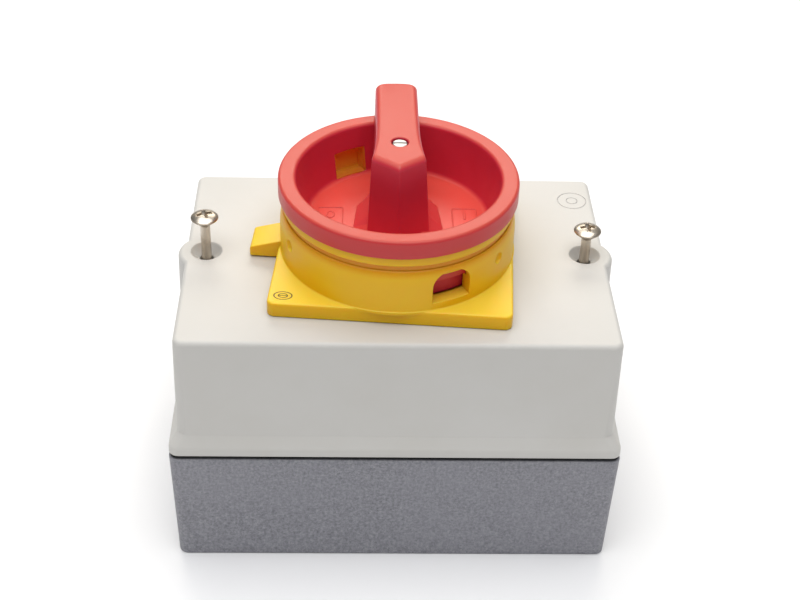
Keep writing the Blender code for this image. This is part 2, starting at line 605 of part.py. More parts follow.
def make_shaft_parts():
    """The square shaft, a cam for each chamber and the latch's star wheel."""
    loft("shaft", [(SHAFT_BOTTOM, square(SHAFT_SIDE)), (SHAFT_TOP - 1.0, square(SHAFT_SIDE)),
                   (SHAFT_TOP, square(SHAFT_SIDE - 1.4))], STEEL)
    outline = [(cam_radius(a) * math.cos(a), cam_radius(a) * math.sin(a))
               for a in (math.radians(7.5 * i) for i in range(48))]
    cam = prism("cam_lower", outline, 3.0, BLOCK_HEIGHT - 3.0, DARK)
    cut(cam, prism("socket", square(SOCKET_SIDE), -5, 25))
    upper = copy(cam, "cam_upper")
    placed(cam, z=CHAMBER_BOTTOMS["lower"])
    placed(upper, z=CHAMBER_BOTTOMS["upper"])
    outline = []
    for angle in (math.radians(10 * i) for i in range(36)):
        radius = STAR_R - STAR_DIP * math.cos(4 * angle)
        outline.append((radius * math.cos(angle), radius * math.sin(angle)))
    star = prism("star_wheel", outline, LATCH_BOTTOM + 3.2, LATCH_BOTTOM + LATCH_HEIGHT - 3.2, DARK)
    cut(star, prism("socket", square(SOCKET_SIDE), 0, 90))
    for item in (cam, upper, star):
        smooth(item)


def make_latch():
    """Latch housing, its spring-loaded plungers and the cap held by two tie bolts."""
    half, middle = BLOCK_SIDE / 2, LATCH_BOTTOM + LATCH_HEIGHT / 2
    housing = prism("latch_housing", rounded_rectangle(half, half, 3.0, 1), LATCH_BOTTOM,
                    LATCH_BOTTOM + LATCH_HEIGHT, DARK)
    guide = box("guide", (-3.4, -23.0, middle - 3.4), (3.4, 23.0, middle + 3.4))
    cut(housing, turned("bore", [(0, 0), (11.4, 0), (11.4, 99), (0, 99)], 32), guide,
        *tie_bolt_holes(0, 90))
    cap = prism("latch_cap", rounded_rectangle(half, half, 3.0, 1), CAP_BOTTOM,
                CAP_BOTTOM + CAP_HEIGHT, DARK)
    cut(cap, turned("bore", [(0, 0), (6.0, 0), (6.0, 99), (0, 99)], 24), *tie_bolt_holes(0, 90))
    plunger = join(box("plunger", (-3.0, 12.4, -3.0), (3.0, 16.5, 3.0), BLACK),
                   prism("nose", arc(0, 12.4, 1.5, 180, 360, 6), -3.0, 3.0))
    for name, turn in (("front", math.pi), ("back", 0.0)):
        placed(copy(plunger, "latch_plunger_" + name), z=middle, turn=turn)
        placed(make_spring("latch_spring_" + name), z=middle, turn=turn)
    bpy.data.objects.remove(plunger)
    low, high = 8.4, CAP_BOTTOM + CAP_HEIGHT + GAP
    profile = [(0, low), (1.45, low), (1.45, high), (2.8, high), (2.8, high + 2.4), (0, high + 2.4)]
    bolt = smooth(turned("tie_bolt_1", profile, 12, STEEL))
    placed(bolt, -TIE_BOLT, -TIE_BOLT)
    placed(copy(bolt, "tie_bolt_2"), TIE_BOLT, TIE_BOLT)


def make_spring(name):
    """A short coil between a plunger and the wall, swept from a round section."""
    start, length, coil_r, wire_r, turns, sides = 17.0, 5.4, 1.9, 0.35, 3, 6
    steps = 10 * turns
    points, faces = [], []
    for i in range(steps + 1):
        angle = 2 * math.pi * turns * i / steps
        out = Vector((math.cos(angle), 0, math.sin(angle)))
        centre = out * coil_r + Vector((0, start + wire_r + (length - 2 * wire_r) * i / steps, 0))
        for k in range(sides):
            around = 2 * math.pi * k / sides
            points.append(centre + out * wire_r * math.cos(around)
                          + Vector((0, wire_r * math.sin(around), 0)))
    for i in range(steps):
        for k in range(sides):
            a, b = i * sides + k, i * sides + (k + 1) % sides
            faces.append([a, b, b + sides, a + sides])
    faces += [list(range(sides)), [steps * sides + k for k in range(sides)][::-1]]
    return smooth(new_object(name, points, faces, STEEL))


def make_earth_terminal():
    clamp = box("earth_terminal", (EARTH_X - 4.5, EARTH_Y - 7, 9.3), (EARTH_X + 4.5, EARTH_Y + 7, 17.3),
                BRASS)
    wire = box("wire", (EARTH_X - 9, EARTH_Y - 4.8, 10.6), (EARTH_X + 9, EARTH_Y + 4.8, 14.0))
    hole = moved(prism("hole", arc(0, 0, 2.0, 0, 330, 11), 0, 30), EARTH_X, EARTH_Y)
    cut(clamp, wire, hole)
    profile = [(0, 14.4), (1.7, 14.4), (1.7, 17.6), (3.2, 17.6), (3.2, 20.0), (0, 20.0)]
    screw = turned("earth_screw", profile, 12, STEEL)
    cut(screw, box("slot", (-5, -0.5, 19.0), (5, 0.5, 22)))
    placed(smooth(screw), EARTH_X, EARTH_Y)


make_base()
make_gasket()
make_screw_rings()
make_cover()
for screw_side in ("left", "right"):
    make_screw(screw_side)
make_front_plate()
make_front_plate_screws()
make_lock_slide()
make_handle_ring()
make_handle()
make_handle_screw()
make_shaft_seal()
make_mounting_plate()
make_contact_housing()
make_contacts()
make_shaft_parts()
make_latch()
make_earth_terminal()
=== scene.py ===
import math

import bmesh
import bpy
from mathutils import Matrix, Vector


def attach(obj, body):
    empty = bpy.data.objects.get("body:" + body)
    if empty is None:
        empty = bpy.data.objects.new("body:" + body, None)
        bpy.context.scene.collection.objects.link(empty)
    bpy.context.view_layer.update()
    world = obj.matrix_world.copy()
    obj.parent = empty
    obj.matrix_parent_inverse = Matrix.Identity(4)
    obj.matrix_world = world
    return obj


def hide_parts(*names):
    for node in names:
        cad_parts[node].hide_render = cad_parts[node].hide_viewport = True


# Rotary isolator in a moulded two-part enclosure, lying on its back: +Z runs out through the
# cover, +X along the longer side, and the grip points to +Y, which is ON. Lengths are in
# millimetres, and those inside a finish are in metres.

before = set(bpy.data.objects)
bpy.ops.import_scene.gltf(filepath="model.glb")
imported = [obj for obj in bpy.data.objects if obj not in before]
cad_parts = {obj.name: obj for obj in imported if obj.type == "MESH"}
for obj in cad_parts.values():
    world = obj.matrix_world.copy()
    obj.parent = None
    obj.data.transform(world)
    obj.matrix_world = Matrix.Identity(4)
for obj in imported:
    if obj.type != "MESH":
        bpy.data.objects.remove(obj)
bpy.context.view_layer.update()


# ---------------------------------------------------------------- base
# The grey half of the enclosure, pressed from glass-filled polyester that sets mottled by its
# fibres. It carries the screw posts and mounting bosses, knock-outs for cables and four wall holes.

MM = 0.001
BASE_X, BASE_Y, BASE_TOP = 168.0, 118.4, 50.5
DRAFT = 0.0194  # every side leans in towards the closed end of its mould
WALL, CORNER = 3.0, 3.4
POST_X, POST_Y, POST_R = 72.3, 1.5, 7.0
MOUNT_BOSSES = ((-42.0, -30.0), (42.0, 30.0))
EARTH_BOSS = (-60.0, -36.0)
KNOCK_OUT_Y, KNOCK_OUT_Z = 27.0, 26.0
WALL_HOLE_X, WALL_HOLE_Y = 68.0, 44.0


def solid(name, points, faces):
    mesh = bpy.data.meshes.new(name)
    mesh.from_pydata([Vector(point) * MM for point in points], [], faces)
    work = bmesh.new()
    work.from_mesh(mesh)
    bmesh.ops.recalc_face_normals(work, faces=work.faces)
    work.to_mesh(mesh)
    work.free()
    piece = bpy.data.objects.new(name, mesh)
    bpy.context.scene.collection.objects.link(piece)
    return piece


def loft(name, sections):
    """A closed solid through outlines of equally many points, lowest first: (z, outline)."""
    count = len(sections[0][1])
    points = [(x, y, z) for z, outline in sections for x, y in outline]
    last = (len(sections) - 1) * count
    faces = [list(range(count))[::-1], [last + i for i in range(count)]]
    for low in range(0, last, count):
        for i in range(count):
            j = (i + 1) % count
            faces.append([low + i, low + j, low + count + j, low + count + i])
    return solid(name, points, faces)


def block(name, low, high):
    (x0, y0, z0), (x1, y1, z1) = low, high
    outline = [(x0, y0), (x1, y0), (x1, y1), (x0, y1)]
    return loft(name, [(z0, outline), (z1, outline)])


def lathe(name, profile, steps=96):
    """A solid turned about Z from a closed loop of (radius, z)."""
    points, rings = [], []
    for radius, z in profile:
        on_axis = radius < 1e-6
        rings.append([len(points) + (0 if on_axis else i) for i in range(steps)])
        for i in range(1 if on_axis else steps):
            angle = 2 * math.pi * i / steps
            points.append((radius * math.cos(angle), radius * math.sin(angle), z))
    faces = []
    for lower, upper in zip(rings, rings[1:] + rings[:1]):
        if lower[0] == lower[1] and upper[0] == upper[1]:
            continue
        for i in range(steps):
            j = (i + 1) % steps
            corners = [lower[i], lower[j], upper[j], upper[i]]
            faces.append([c for n, c in enumerate(corners) if c not in corners[:n]])
    return solid(name, points, faces)


def rod(name, radius, low, high, steps=96):
    return lathe(name, [(0, low), (radius, low), (radius, high), (0, high)], steps)


def band(name, inner, outer, low, high, steps):
    return lathe(name, [(inner, low), (outer, low), (outer, high), (inner, high)], steps)


def arc(x, y, radius, start, end, steps, tall=None):
    """Points along a circular or elliptical arc, its angles in degrees."""
    angles = [math.radians(start + (end - start) * i / steps) for i in range(steps + 1)]
    return [(x + radius * math.cos(a), y + (tall or radius) * math.sin(a)) for a in angles]


def circle(radius, steps=48):
    return arc(0, 0, radius, 0, 360 - 360 / steps, steps - 1)


def rounded_rectangle(half_x, half_y, radius, steps=8):
    outline = []
    for side_x, side_y, start in ((1, 1, 0), (-1, 1, 90), (-1, -1, 180), (1, -1, 270)):
        outline += arc(side_x * (half_x - radius), side_y * (half_y - radius), radius,
                       start, start + 90, steps)
    return outline


def rounding(radius, steps):
    """An edge's rounding from the side to the top, as (drop from the top, inset from the side)."""
    angles = [math.radians(90 * i / steps) for i in range(steps + 1)]
    return [(radius * (1 - math.sin(a)), radius * (1 - math.cos(a))) for a in angles]


def shifted(piece, x=0.0, y=0.0, z=0.0, turn=0.0, tilt=0.0):
    """Moves a mesh within its object, after tilting it about Y and turning it about Z."""
    place = Matrix.Translation(Vector((x, y, z)) * MM)
    piece.data.transform(place @ Matrix.Rotation(turn, 4, "Z") @ Matrix.Rotation(tilt, 4, "Y"))
    return piece


def boolean(piece, others, operation):
    for other in others:
        step = piece.modifiers.new("step", "BOOLEAN")
        step.operation, step.solver, step.object = operation, "EXACT", other
    bpy.context.view_layer.update()
    graph = bpy.context.evaluated_depsgraph_get()
    result = bpy.data.meshes.new_from_object(piece.evaluated_get(graph))
    piece.modifiers.clear()
    piece.data = result
    for other in others:
        bpy.data.objects.remove(other)
    return piece


def cut(piece, *others):
    return boolean(piece, others, "DIFFERENCE")


def join(piece, *others):
    return boolean(piece, others, "UNION")


def coat(piece, finish):
    piece.data.materials.clear()
    piece.data.materials.append(finish)


def dress(piece, finish, body, slot, *nodes, sharp=32.0):
    """Smooths a piece's curved faces, gives it its finish, and stands it in for its frame nodes."""
    piece.data.shade_smooth()
    piece.data.set_sharp_from_angle(angle=math.radians(sharp))
    coat(piece, finish)
    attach(piece, body)
    if nodes:
        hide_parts(*nodes)
    return piece


class Tone:
    """A shader socket that can stand in a sum: each operator adds its Math node."""

    def __init__(self, finish, socket):
        self.finish, self.socket = finish, socket

    def math(self, operation, *terms):
        return self.finish.add("ShaderNodeMath", {"operation": operation}, dict(enumerate(terms)))

    def __add__(self, other):
        return self.math("ADD", self, other)

    def __sub__(self, other):
        return self.math("SUBTRACT", self, other)

    def __rsub__(self, other):
        return self.math("SUBTRACT", other, self)

    def __mul__(self, other):
        return self.math("MULTIPLY", self, other)

    __radd__, __rmul__ = __add__, __mul__


class Finish:
    """The node tree of one finish, with a Principled shader at its end."""

    def __init__(self, name, **constants):
        self.material = bpy.data.materials.new(name)
        self.material.use_nodes = True
        self.tree = self.material.node_tree
        self.shader = self.tree.nodes["Principled BSDF"]
        for socket, value in constants.items():
            self.shader.inputs[socket.replace("_", " ")].default_value = value
        self.place = self.add("ShaderNodeTexCoord", output="Object")

    def add(self, kind, settings=(), sockets=(), output=0):
        node = self.tree.nodes.new(kind)
        for name, value in dict(settings).items():
            setattr(node, name, value)
        for name, value in dict(sockets).items():
            self.feed(node.inputs[name], value)
        return Tone(self, node.outputs[output])

    def feed(self, socket, value):
        if isinstance(value, Tone):
            self.tree.links.new(value.socket, socket)
        elif isinstance(value, tuple) and len(value) == 3 and len(socket.default_value) == 4:
            socket.default_value = (*value, 1.0)
        else:
            socket.default_value = value

    def noise(self, scale, detail=2.0, rough=0.5, stretch=None):
        place = self.place
        if stretch:
            place = self.add("ShaderNodeMapping", {}, {"Vector": place, "Scale": stretch})
        return self.add("ShaderNodeTexNoise", {}, {"Vector": place, "Scale": scale,
                                                   "Detail": detail, "Roughness": rough})

    def steps(self, value, low, high):
        """0 up to low, 1 from high, and even between them."""
        return self.add("ShaderNodeMapRange", {"clamp": True},
                        {"Value": value, "From Min": low, "From Max": high})

    def mix(self, first, second, share):
        return self.add("ShaderNodeMix", {"data_type": "RGBA"},
                        {0: share, 6: first, 7: second}, output=2)

    def height(self):
        return self.add("ShaderNodeSeparateXYZ", {}, {"Vector": self.place}, output="Z")

    def from_axis(self):
        flat = self.add("ShaderNodeVectorMath", {"operation": "MULTIPLY"},
                        {0: self.place, 1: (1.0, 1.0, 0.0)})
        return self.add("ShaderNodeVectorMath", {"operation": "LENGTH"}, {0: flat}, output="Value")

    def facing_up(self):
        normal = self.add("ShaderNodeNewGeometry", output="True Normal")
        return self.steps(self.add("ShaderNodeSeparateXYZ", {}, {"Vector": normal}, output="Z"),
                          0.45, 0.95)

    def edges(self, radius):
        """How far the surface bends away within a radius: 0 on a flat, to 1 on a sharp edge."""
        rounded = self.add("ShaderNodeBevel", {"samples": 4}, {"Radius": radius * MM})
        true = self.add("ShaderNodeNewGeometry", output="True Normal")
        level = self.add("ShaderNodeVectorMath", {"operation": "DOT_PRODUCT"},
                         {0: rounded, 1: true}, output="Value")
        return self.steps(1 - level, 0.02, 0.25), rounded

    def wear(self, colour, roughness, height, depth, rounded=None):
        """Feeds the shader: colour, roughness, and a relief that is depth millimetres deep."""
        sockets = {"Height": height, "Distance": depth * MM, "Strength": 1.0}
        if rounded:
            sockets["Normal"] = rounded
        self.feed(self.shader.inputs["Base Color"], colour)
        self.feed(self.shader.inputs["Roughness"], roughness)
        self.feed(self.shader.inputs["Normal"], self.add("ShaderNodeBump", {}, sockets))
        return self.material


def mottled_polyester():
    """Grey polyester: blue-grey resin with pale glass fibres, dark flecks and a dull skin."""
    finish = Finish("mottled grey polyester", IOR=1.5)
    broad = finish.noise(22, 4, 0.6)
    grain = finish.noise(900, 3, 0.7)
    flecks = finish.noise(1900, 2, 0.6)
    fibres = finish.noise(620, 3, 0.6, stretch=(1.5, 1.5, 0.7))
    strands = finish.noise(760, 2, 0.5, stretch=(0.7, 0.7, 2.2))
    resin = finish.mix((0.150, 0.151, 0.173), (0.340, 0.340, 0.372),
                       finish.steps(grain * 0.65 + fibres * 0.35, 0.34, 0.66))
    resin = finish.mix(resin, (0.385, 0.387, 0.420), finish.steps(strands, 0.60, 0.74) * 0.5)
    resin = finish.mix(resin, (0.088, 0.088, 0.106), finish.steps(flecks, 0.58, 0.70) * 0.6)
    resin = finish.mix(resin, (0.290, 0.290, 0.328), finish.steps(broad, 0.42, 0.72) * 0.35)
    edge, rounded = finish.edges(0.5)
    colour = finish.mix(resin, (0.345, 0.345, 0.365), edge * 0.35)
    return finish.wear(colour, 0.50 + 0.16 * grain - 0.08 * broad, grain + 0.5 * flecks, 0.035,
                       rounded)


def base_box():
    half_x, half_y, foot = BASE_X / 2, BASE_Y / 2, DRAFT * BASE_TOP
    low_x, low_y = half_x - foot, half_y - foot
    sections = [(z, rounded_rectangle(low_x - inset, low_y - inset, CORNER - inset))
                for z, inset in reversed(rounding(0.8, 5))]
    sections += [(BASE_TOP - 0.3, rounded_rectangle(half_x, half_y, CORNER)),
                 (BASE_TOP, rounded_rectangle(half_x - 0.3, half_y - 0.3, CORNER - 0.3))]
    base = loft("base_moulding", sections)
    hollow = loft("hollow", [
        (WALL, rounded_rectangle(low_x - WALL - 0.8, low_y - WALL - 0.8, 1.6)),
        (WALL + 0.8, rounded_rectangle(low_x - WALL, low_y - WALL, 2.0)),
        (BASE_TOP + 2, rounded_rectangle(half_x - WALL, half_y - WALL, 2.0))])
    cut(base, hollow)
    added = []
    for side in (-1, 1):
        added.append(shifted(loft("post", [(2.0, circle(POST_R)), (BASE_TOP, circle(POST_R))]),
                             side * POST_X, POST_Y))
        added.append(shifted(block("web", (0, -4, 2), (side * 10.2, 4, BASE_TOP - 1)),
                             side * POST_X, POST_Y))
    for x, y in MOUNT_BOSSES:
        added.append(shifted(loft("boss", [(2.0, circle(5.6)), (7.7, circle(5.0))]), x, y))
    x, y = EARTH_BOSS
    added.append(block("earth_boss", (x - 6, y - 8, 2), (x + 6, y + 8, 9)))
    for rib_x in (-30, 30):
        added.append(block("rib", (rib_x - 0.8, -half_y + 3, 2), (rib_x + 0.8, half_y - 3, 4.2)))
    join(base, *added)
    holes = []
    for side in (-1, 1):
        holes.append(shifted(lathe("bore", [(0, 24), (2.5, 24), (2.5, 38), (3.6, 38), (3.6, 60),
                                            (0, 60)], 48), side * POST_X, POST_Y))
        wall = half_x - DRAFT * (BASE_TOP - KNOCK_OUT_Z)
        for y in (-KNOCK_OUT_Y, KNOCK_OUT_Y):
            groove = lathe("knock_out", [(12.0, -1.0), (13.0, -1.0), (12.8, 0.7), (12.2, 0.7)])
            holes.append(shifted(groove, side * (wall + 0.1), y, KNOCK_OUT_Z,
                                 tilt=-side * math.pi / 2))
        for y in (-WALL_HOLE_Y, WALL_HOLE_Y):
            holes.append(shifted(rod("wall_hole", 2.6, -5, 8, 32), side * WALL_HOLE_X, y))
    for x, y in (*MOUNT_BOSSES, EARTH_BOSS):
        holes.append(shifted(rod("screw_hole", 1.8, 3.6, 12, 32), x, y))
    return cut(base, *holes)


POLYESTER = mottled_polyester()
dress(base_box(), POLYESTER, "root", "grey_moulding", "base_box")


# ---------------------------------------------------------------- switch mechanism
# Two contact chambers and the latch chamber, all in dark glass-filled nylon, stacked on a plated
# steel plate. Copper strips and bridges make the contacts, and two long bolts hold the stack.


def moulded(name, colour, shade, roughness, grain=2200.0, depth=0.012, rim=None, rub=0.25):
    """A moulding's skin: colour drifting a little to shade, a fine matt grain, and rubbed edges."""
    finish = Finish(name, IOR=1.49)
    drift, fine = finish.noise(26, 4, 0.6), finish.noise(grain, 3, 0.7)
    scuffs = finish.noise(160, 5, 0.75, stretch=(1.0, 3.0, 1.0))
    colour_now = finish.mix(colour, shade, finish.steps(drift, 0.35, 0.75) * 0.8)
    colour_now = finish.mix(colour_now, shade, finish.steps(fine, 0.55, 0.8) * 0.35)
    edge, rounded = finish.edges(0.45)
    colour_now = finish.mix(colour_now, rim or tuple(0.88 * c + 0.09 for c in colour), edge * rub)
    matt = roughness + 0.10 * scuffs + 0.08 * fine - 0.09 - 0.05 * edge
    return finish.wear(colour_now, matt, fine + 0.3 * scuffs, depth, rounded)


def plated(name, colour, stain, roughness, brushed=(1.0, 1.0, 1.0), corner=None, reach=0.25):
    """Bare or plated metal: a clouded lustre, faint drawn lines, and dull stains in patches."""
    finish = Finish(name, Metallic=1.0)
    cloud, fine = finish.noise(180, 4, 0.65), finish.noise(2600, 2, 0.6)
    lines = finish.noise(900, 2, 0.5, stretch=brushed)
    patches = finish.steps(cloud, 0.52, 0.72)
    edge, rounded = finish.edges(reach)
    colour_now = finish.mix(finish.mix(colour, stain, patches * 0.7),
                            corner or tuple(min(1.0, 1.12 * c) for c in colour), edge * 0.6)
    dull = roughness + 0.22 * patches + 0.12 * lines - 0.06
    return finish.wear(colour_now, dull, lines + 0.4 * fine, 0.006, rounded)


def soften(piece, width, segments=2):
    """Rounds a machined or moulded piece's sharp edges by width millimetres."""
    bevel = piece.modifiers.new("soft_edges", "BEVEL")
    bevel.width, bevel.segments = width * MM, segments
    bevel.limit_method, bevel.angle_limit = "ANGLE", math.radians(40)
    bevel.harden_normals = True
    return piece


NYLON = moulded("dark nylon", (0.030, 0.031, 0.034), (0.046, 0.046, 0.050), 0.50, 1400, 0.02)
BLACK_NYLON = moulded("black nylon", (0.014, 0.014, 0.015), (0.022, 0.022, 0.024), 0.42)
ZINC = plated("zinc plated steel", (0.66, 0.63, 0.60), (0.50, 0.46, 0.41), 0.30, (1.0, 1.0, 8.0))
BRASS = plated("brass", (0.78, 0.57, 0.25), (0.52, 0.34, 0.14), 0.30, (1.0, 1.0, 6.0))
COPPER = plated("copper", (0.83, 0.46, 0.31), (0.50, 0.24, 0.15), 0.28, (1.0, 6.0, 1.0))
INNER_FINISHES = {
    "contact_housing": (NYLON, 0.4), "cam": (NYLON, 0.3), "latch_housing": (NYLON, 0.4),
    "latch_cap": (NYLON, 0.4), "star_wheel": (NYLON, 0.25), "contact_carrier": (BLACK_NYLON, 0.3),
    "latch_plunger": (BLACK_NYLON, 0.3), "fixed_contact": (COPPER, 0.2),
    "contact_bridge": (COPPER, 0.2), "insert": (BRASS, 0.2), "earth_terminal": (BRASS, 0.4),
    "mounting_plate": (ZINC, 0.25), "terminal_screw": (ZINC, 0.2), "tie_bolt": (ZINC, 0.2),
    "plate_screw": (ZINC, 0.2), "earth_screw": (ZINC, 0.2), "shaft": (ZINC, 0.25),
    "latch_spring": (ZINC, 0.0),
}
for name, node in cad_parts.items():
    for start, (finish, width) in INNER_FINISHES.items():
        if name.startswith(start) and name != "shaft_seal":
            coat(node, finish)
            if width:
                soften(node, width)


# ---------------------------------------------------------------- gasket and seals
# A black foam rubber cord pressed between base and cover, a lip seal round the shaft, and a small
# rubber ring under the cover on each screw that keeps it captive.


def rubber():
    """Soft black rubber, dusty and slightly porous."""
    finish = Finish("black rubber", IOR=1.5)
    pores, dust = finish.noise(1800, 3, 0.6), finish.noise(90, 4, 0.7)
    colour = finish.mix((0.010, 0.010, 0.012), (0.035, 0.034, 0.036),
                        finish.steps(dust, 0.45, 0.8) * 0.6)
    return finish.wear(colour, 0.72 + 0.16 * pores, pores, 0.03)


def gasket():
    """The cord's section is a flat oval, swept round the rim in one loop."""
    low, high, reach = BASE_TOP + 0.3, 51.8, 2.5
    middle, half = (low + high) / 2, (high - low) / 2
    points, faces, ring = [], [], 12
    track = [rounded_rectangle(BASE_X / 2 - 0.4 - inset, BASE_Y / 2 - 0.4 - inset, 3.0 - inset)
             for inset in (reach * (0.5 - 0.5 * math.cos(2 * math.pi * k / ring))
                           for k in range(ring))]
    count = len(track[0])
    for i in range(count):
        for k in range(ring):
            x, y = track[k][i]
            points.append((x, y, middle + half * math.sin(2 * math.pi * k / ring)))
    for i in range(count):
        for k in range(ring):
            a, b = i * ring, (i + 1) % count * ring
            faces.append([a + k, a + (k + 1) % ring, b + (k + 1) % ring, b + k])
    return solid("gasket_cord", points, faces)


RUBBER = rubber()
dress(gasket(), RUBBER, "cover", "black_rubber", "gasket", sharp=60)
for name in ("shaft_seal", "screw_retainer_left", "screw_retainer_right"):
    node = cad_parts[name]
    coat(node, RUBBER)
    soften(node, 0.35, 3)


# ---------------------------------------------------------------- cover
# The cream half of the enclosure, injection moulded in polycarbonate with a fine matt skin. It has
# a lobe each side for its captive screw, a stepped skirt over the base, and a round mould mark.

COVER_X, COVER_Y, COVER_TOP = 160.0, 110.4, 102.3
COVER_BOTTOM, SKIRT_TOP = 52.1, 60.2
LOBE_R = 10.7
PLATE_TURN = math.radians(-4.7)
PLATE_SCREWS = ((-37.0, -37.0), (37.0, 37.0))
MARK_X, MARK_Y = 71.7, 39.3


def cover_outline(grow):
    half_x, half_y = COVER_X / 2 + grow, COVER_Y / 2 + grow
    radius, corner = LOBE_R + grow, CORNER + grow
    reach = math.degrees(math.acos((half_x - POST_X) / radius))
    x, y = half_x - corner, half_y - corner
    return (arc(POST_X, POST_Y, radius, -reach, reach, 24) + arc(x, y, corner, 0, 90, 8)
            + arc(-x, y, corner, 90, 180, 8)
            + arc(-POST_X, POST_Y, radius, 180 - reach, 180 + reach, 24)
            + arc(-x, -y, corner, 180, 270, 8) + arc(x, -y, corner, 270, 360, 8))


def cover_moulding():
    top, half_x, half_y = COVER_TOP, COVER_X / 2, COVER_Y / 2
    sections = [(COVER_BOTTOM + 1, cover_outline(DRAFT * (top - COVER_BOTTOM)))]
    sections += [(top - drop, cover_outline(-inset)) for drop, inset in rounding(1.8, 9)]
    cover = loft("cover_moulding", sections)
    skirt, waist = 3.95, DRAFT * (top - SKIRT_TOP)
    slope = [(COVER_BOTTOM, skirt - 0.3), (COVER_BOTTOM + 0.3, skirt),
             (SKIRT_TOP - 5.2, skirt - 0.1), (SKIRT_TOP - 4.7, skirt - 0.22),
             (SKIRT_TOP - 4.0, skirt - 0.62), (SKIRT_TOP - 3.4, skirt - 1.1),
             (SKIRT_TOP - 1.2, waist + 0.75),
             (SKIRT_TOP - 0.4, waist + 0.15), (SKIRT_TOP, waist - 0.1)]
    join(cover, loft("skirt", [(z, rounded_rectangle(half_x + out, half_y + out, CORNER + 0.3))
                               for z, out in slope]))
    rebate = (half_x + 0.9, half_y + 0.9, 2.0)
    cut(cover, loft("hollow", [
        (COVER_BOTTOM - 1, rounded_rectangle(*rebate)),
        (COVER_BOTTOM + 4.4, rounded_rectangle(*rebate)),
        (SKIRT_TOP - 0.6, rounded_rectangle(half_x + waist - WALL, half_y + waist - WALL, 2.0)),
        (top - WALL - 0.8, rounded_rectangle(half_x - WALL, half_y - WALL, 2.0)),
        (top - WALL, rounded_rectangle(half_x - WALL - 0.8, half_y - WALL - 0.8, 1.4))]))
    added = []
    for side in (-1, 1):
        post = loft("post", [(COVER_BOTTOM, circle(POST_R)), (top - 1.5, circle(POST_R))])
        web = block("web", (0, -4, COVER_BOTTOM + 0.6), (side * 9.5, 4, top - 1.5))
        added += [shifted(post, side * POST_X, POST_Y), shifted(web, side * POST_X, POST_Y)]
    join(cover, *added)
    holes = [rod("shaft_hole", 8, 90, 110)]
    for side in (-1, 1):
        holes.append(shifted(lathe("screw_well", [
            (0, 40), (4.8, 40), (4.8, COVER_BOTTOM + 2.2), (2.65, COVER_BOTTOM + 2.2),
            (2.65, top - 3.5), (5.6, top - 0.55), (5.75, top - 0.25), (6.1, top), (6.1, top + 4),
            (0, top + 4)], 72), side * POST_X, POST_Y))
    for x, y in PLATE_SCREWS:
        where = Matrix.Rotation(PLATE_TURN, 2) @ Vector((x, y))
        holes.append(shifted(rod("plate_hole", 1.9, 90, 110, 32), *where))
    for inner, outer in ((5.4, 6.0), (1.9, 2.5)):
        groove = [(inner, top + 1), (inner + 0.2, top - 0.22), (outer - 0.2, top - 0.22),
                  (outer, top + 1)]
        holes.append(shifted(lathe("mould_mark", groove, 72), MARK_X, MARK_Y))
    return cut(cover, *holes)


CREAM = moulded("cream polycarbonate", (0.612, 0.603, 0.580), (0.582, 0.570, 0.538), 0.50, 1900,
                0.016, rim=(0.66, 0.65, 0.63), rub=0.2)
dress(cover_moulding(), CREAM, "cover", "cream_moulding", "cover")


# ---------------------------------------------------------------- front plate
# The yellow square with a round collar that the handle turns in, moulded in one with an arched lock
# window and two gate dimples. Two screws from under the cover hold it.

PLATE_HALF, PLATE_FRONT, PLATE_LOW, PLATE_TOP = 44.2, -43.0, 102.6, 108.3
COLLAR_R, COLLAR_TOP = 43.94, 125.2
COLLAR_INNER_R, COLLAR_FOOT_R, COLLAR_STEP = 41.05, 38.8, 117.0
ARCH_AZIMUTH, ARCH_WIDTH, ARCH_SILL, ARCH_SPRING, ARCH_CROWN = -60.1, 14.8, 111.1, 117.9, 123.8
DIMPLE_AZIMUTHS, DIMPLE_Z = (-30.0, -150.0), 119
SLIDE_WIDTH = 13.5


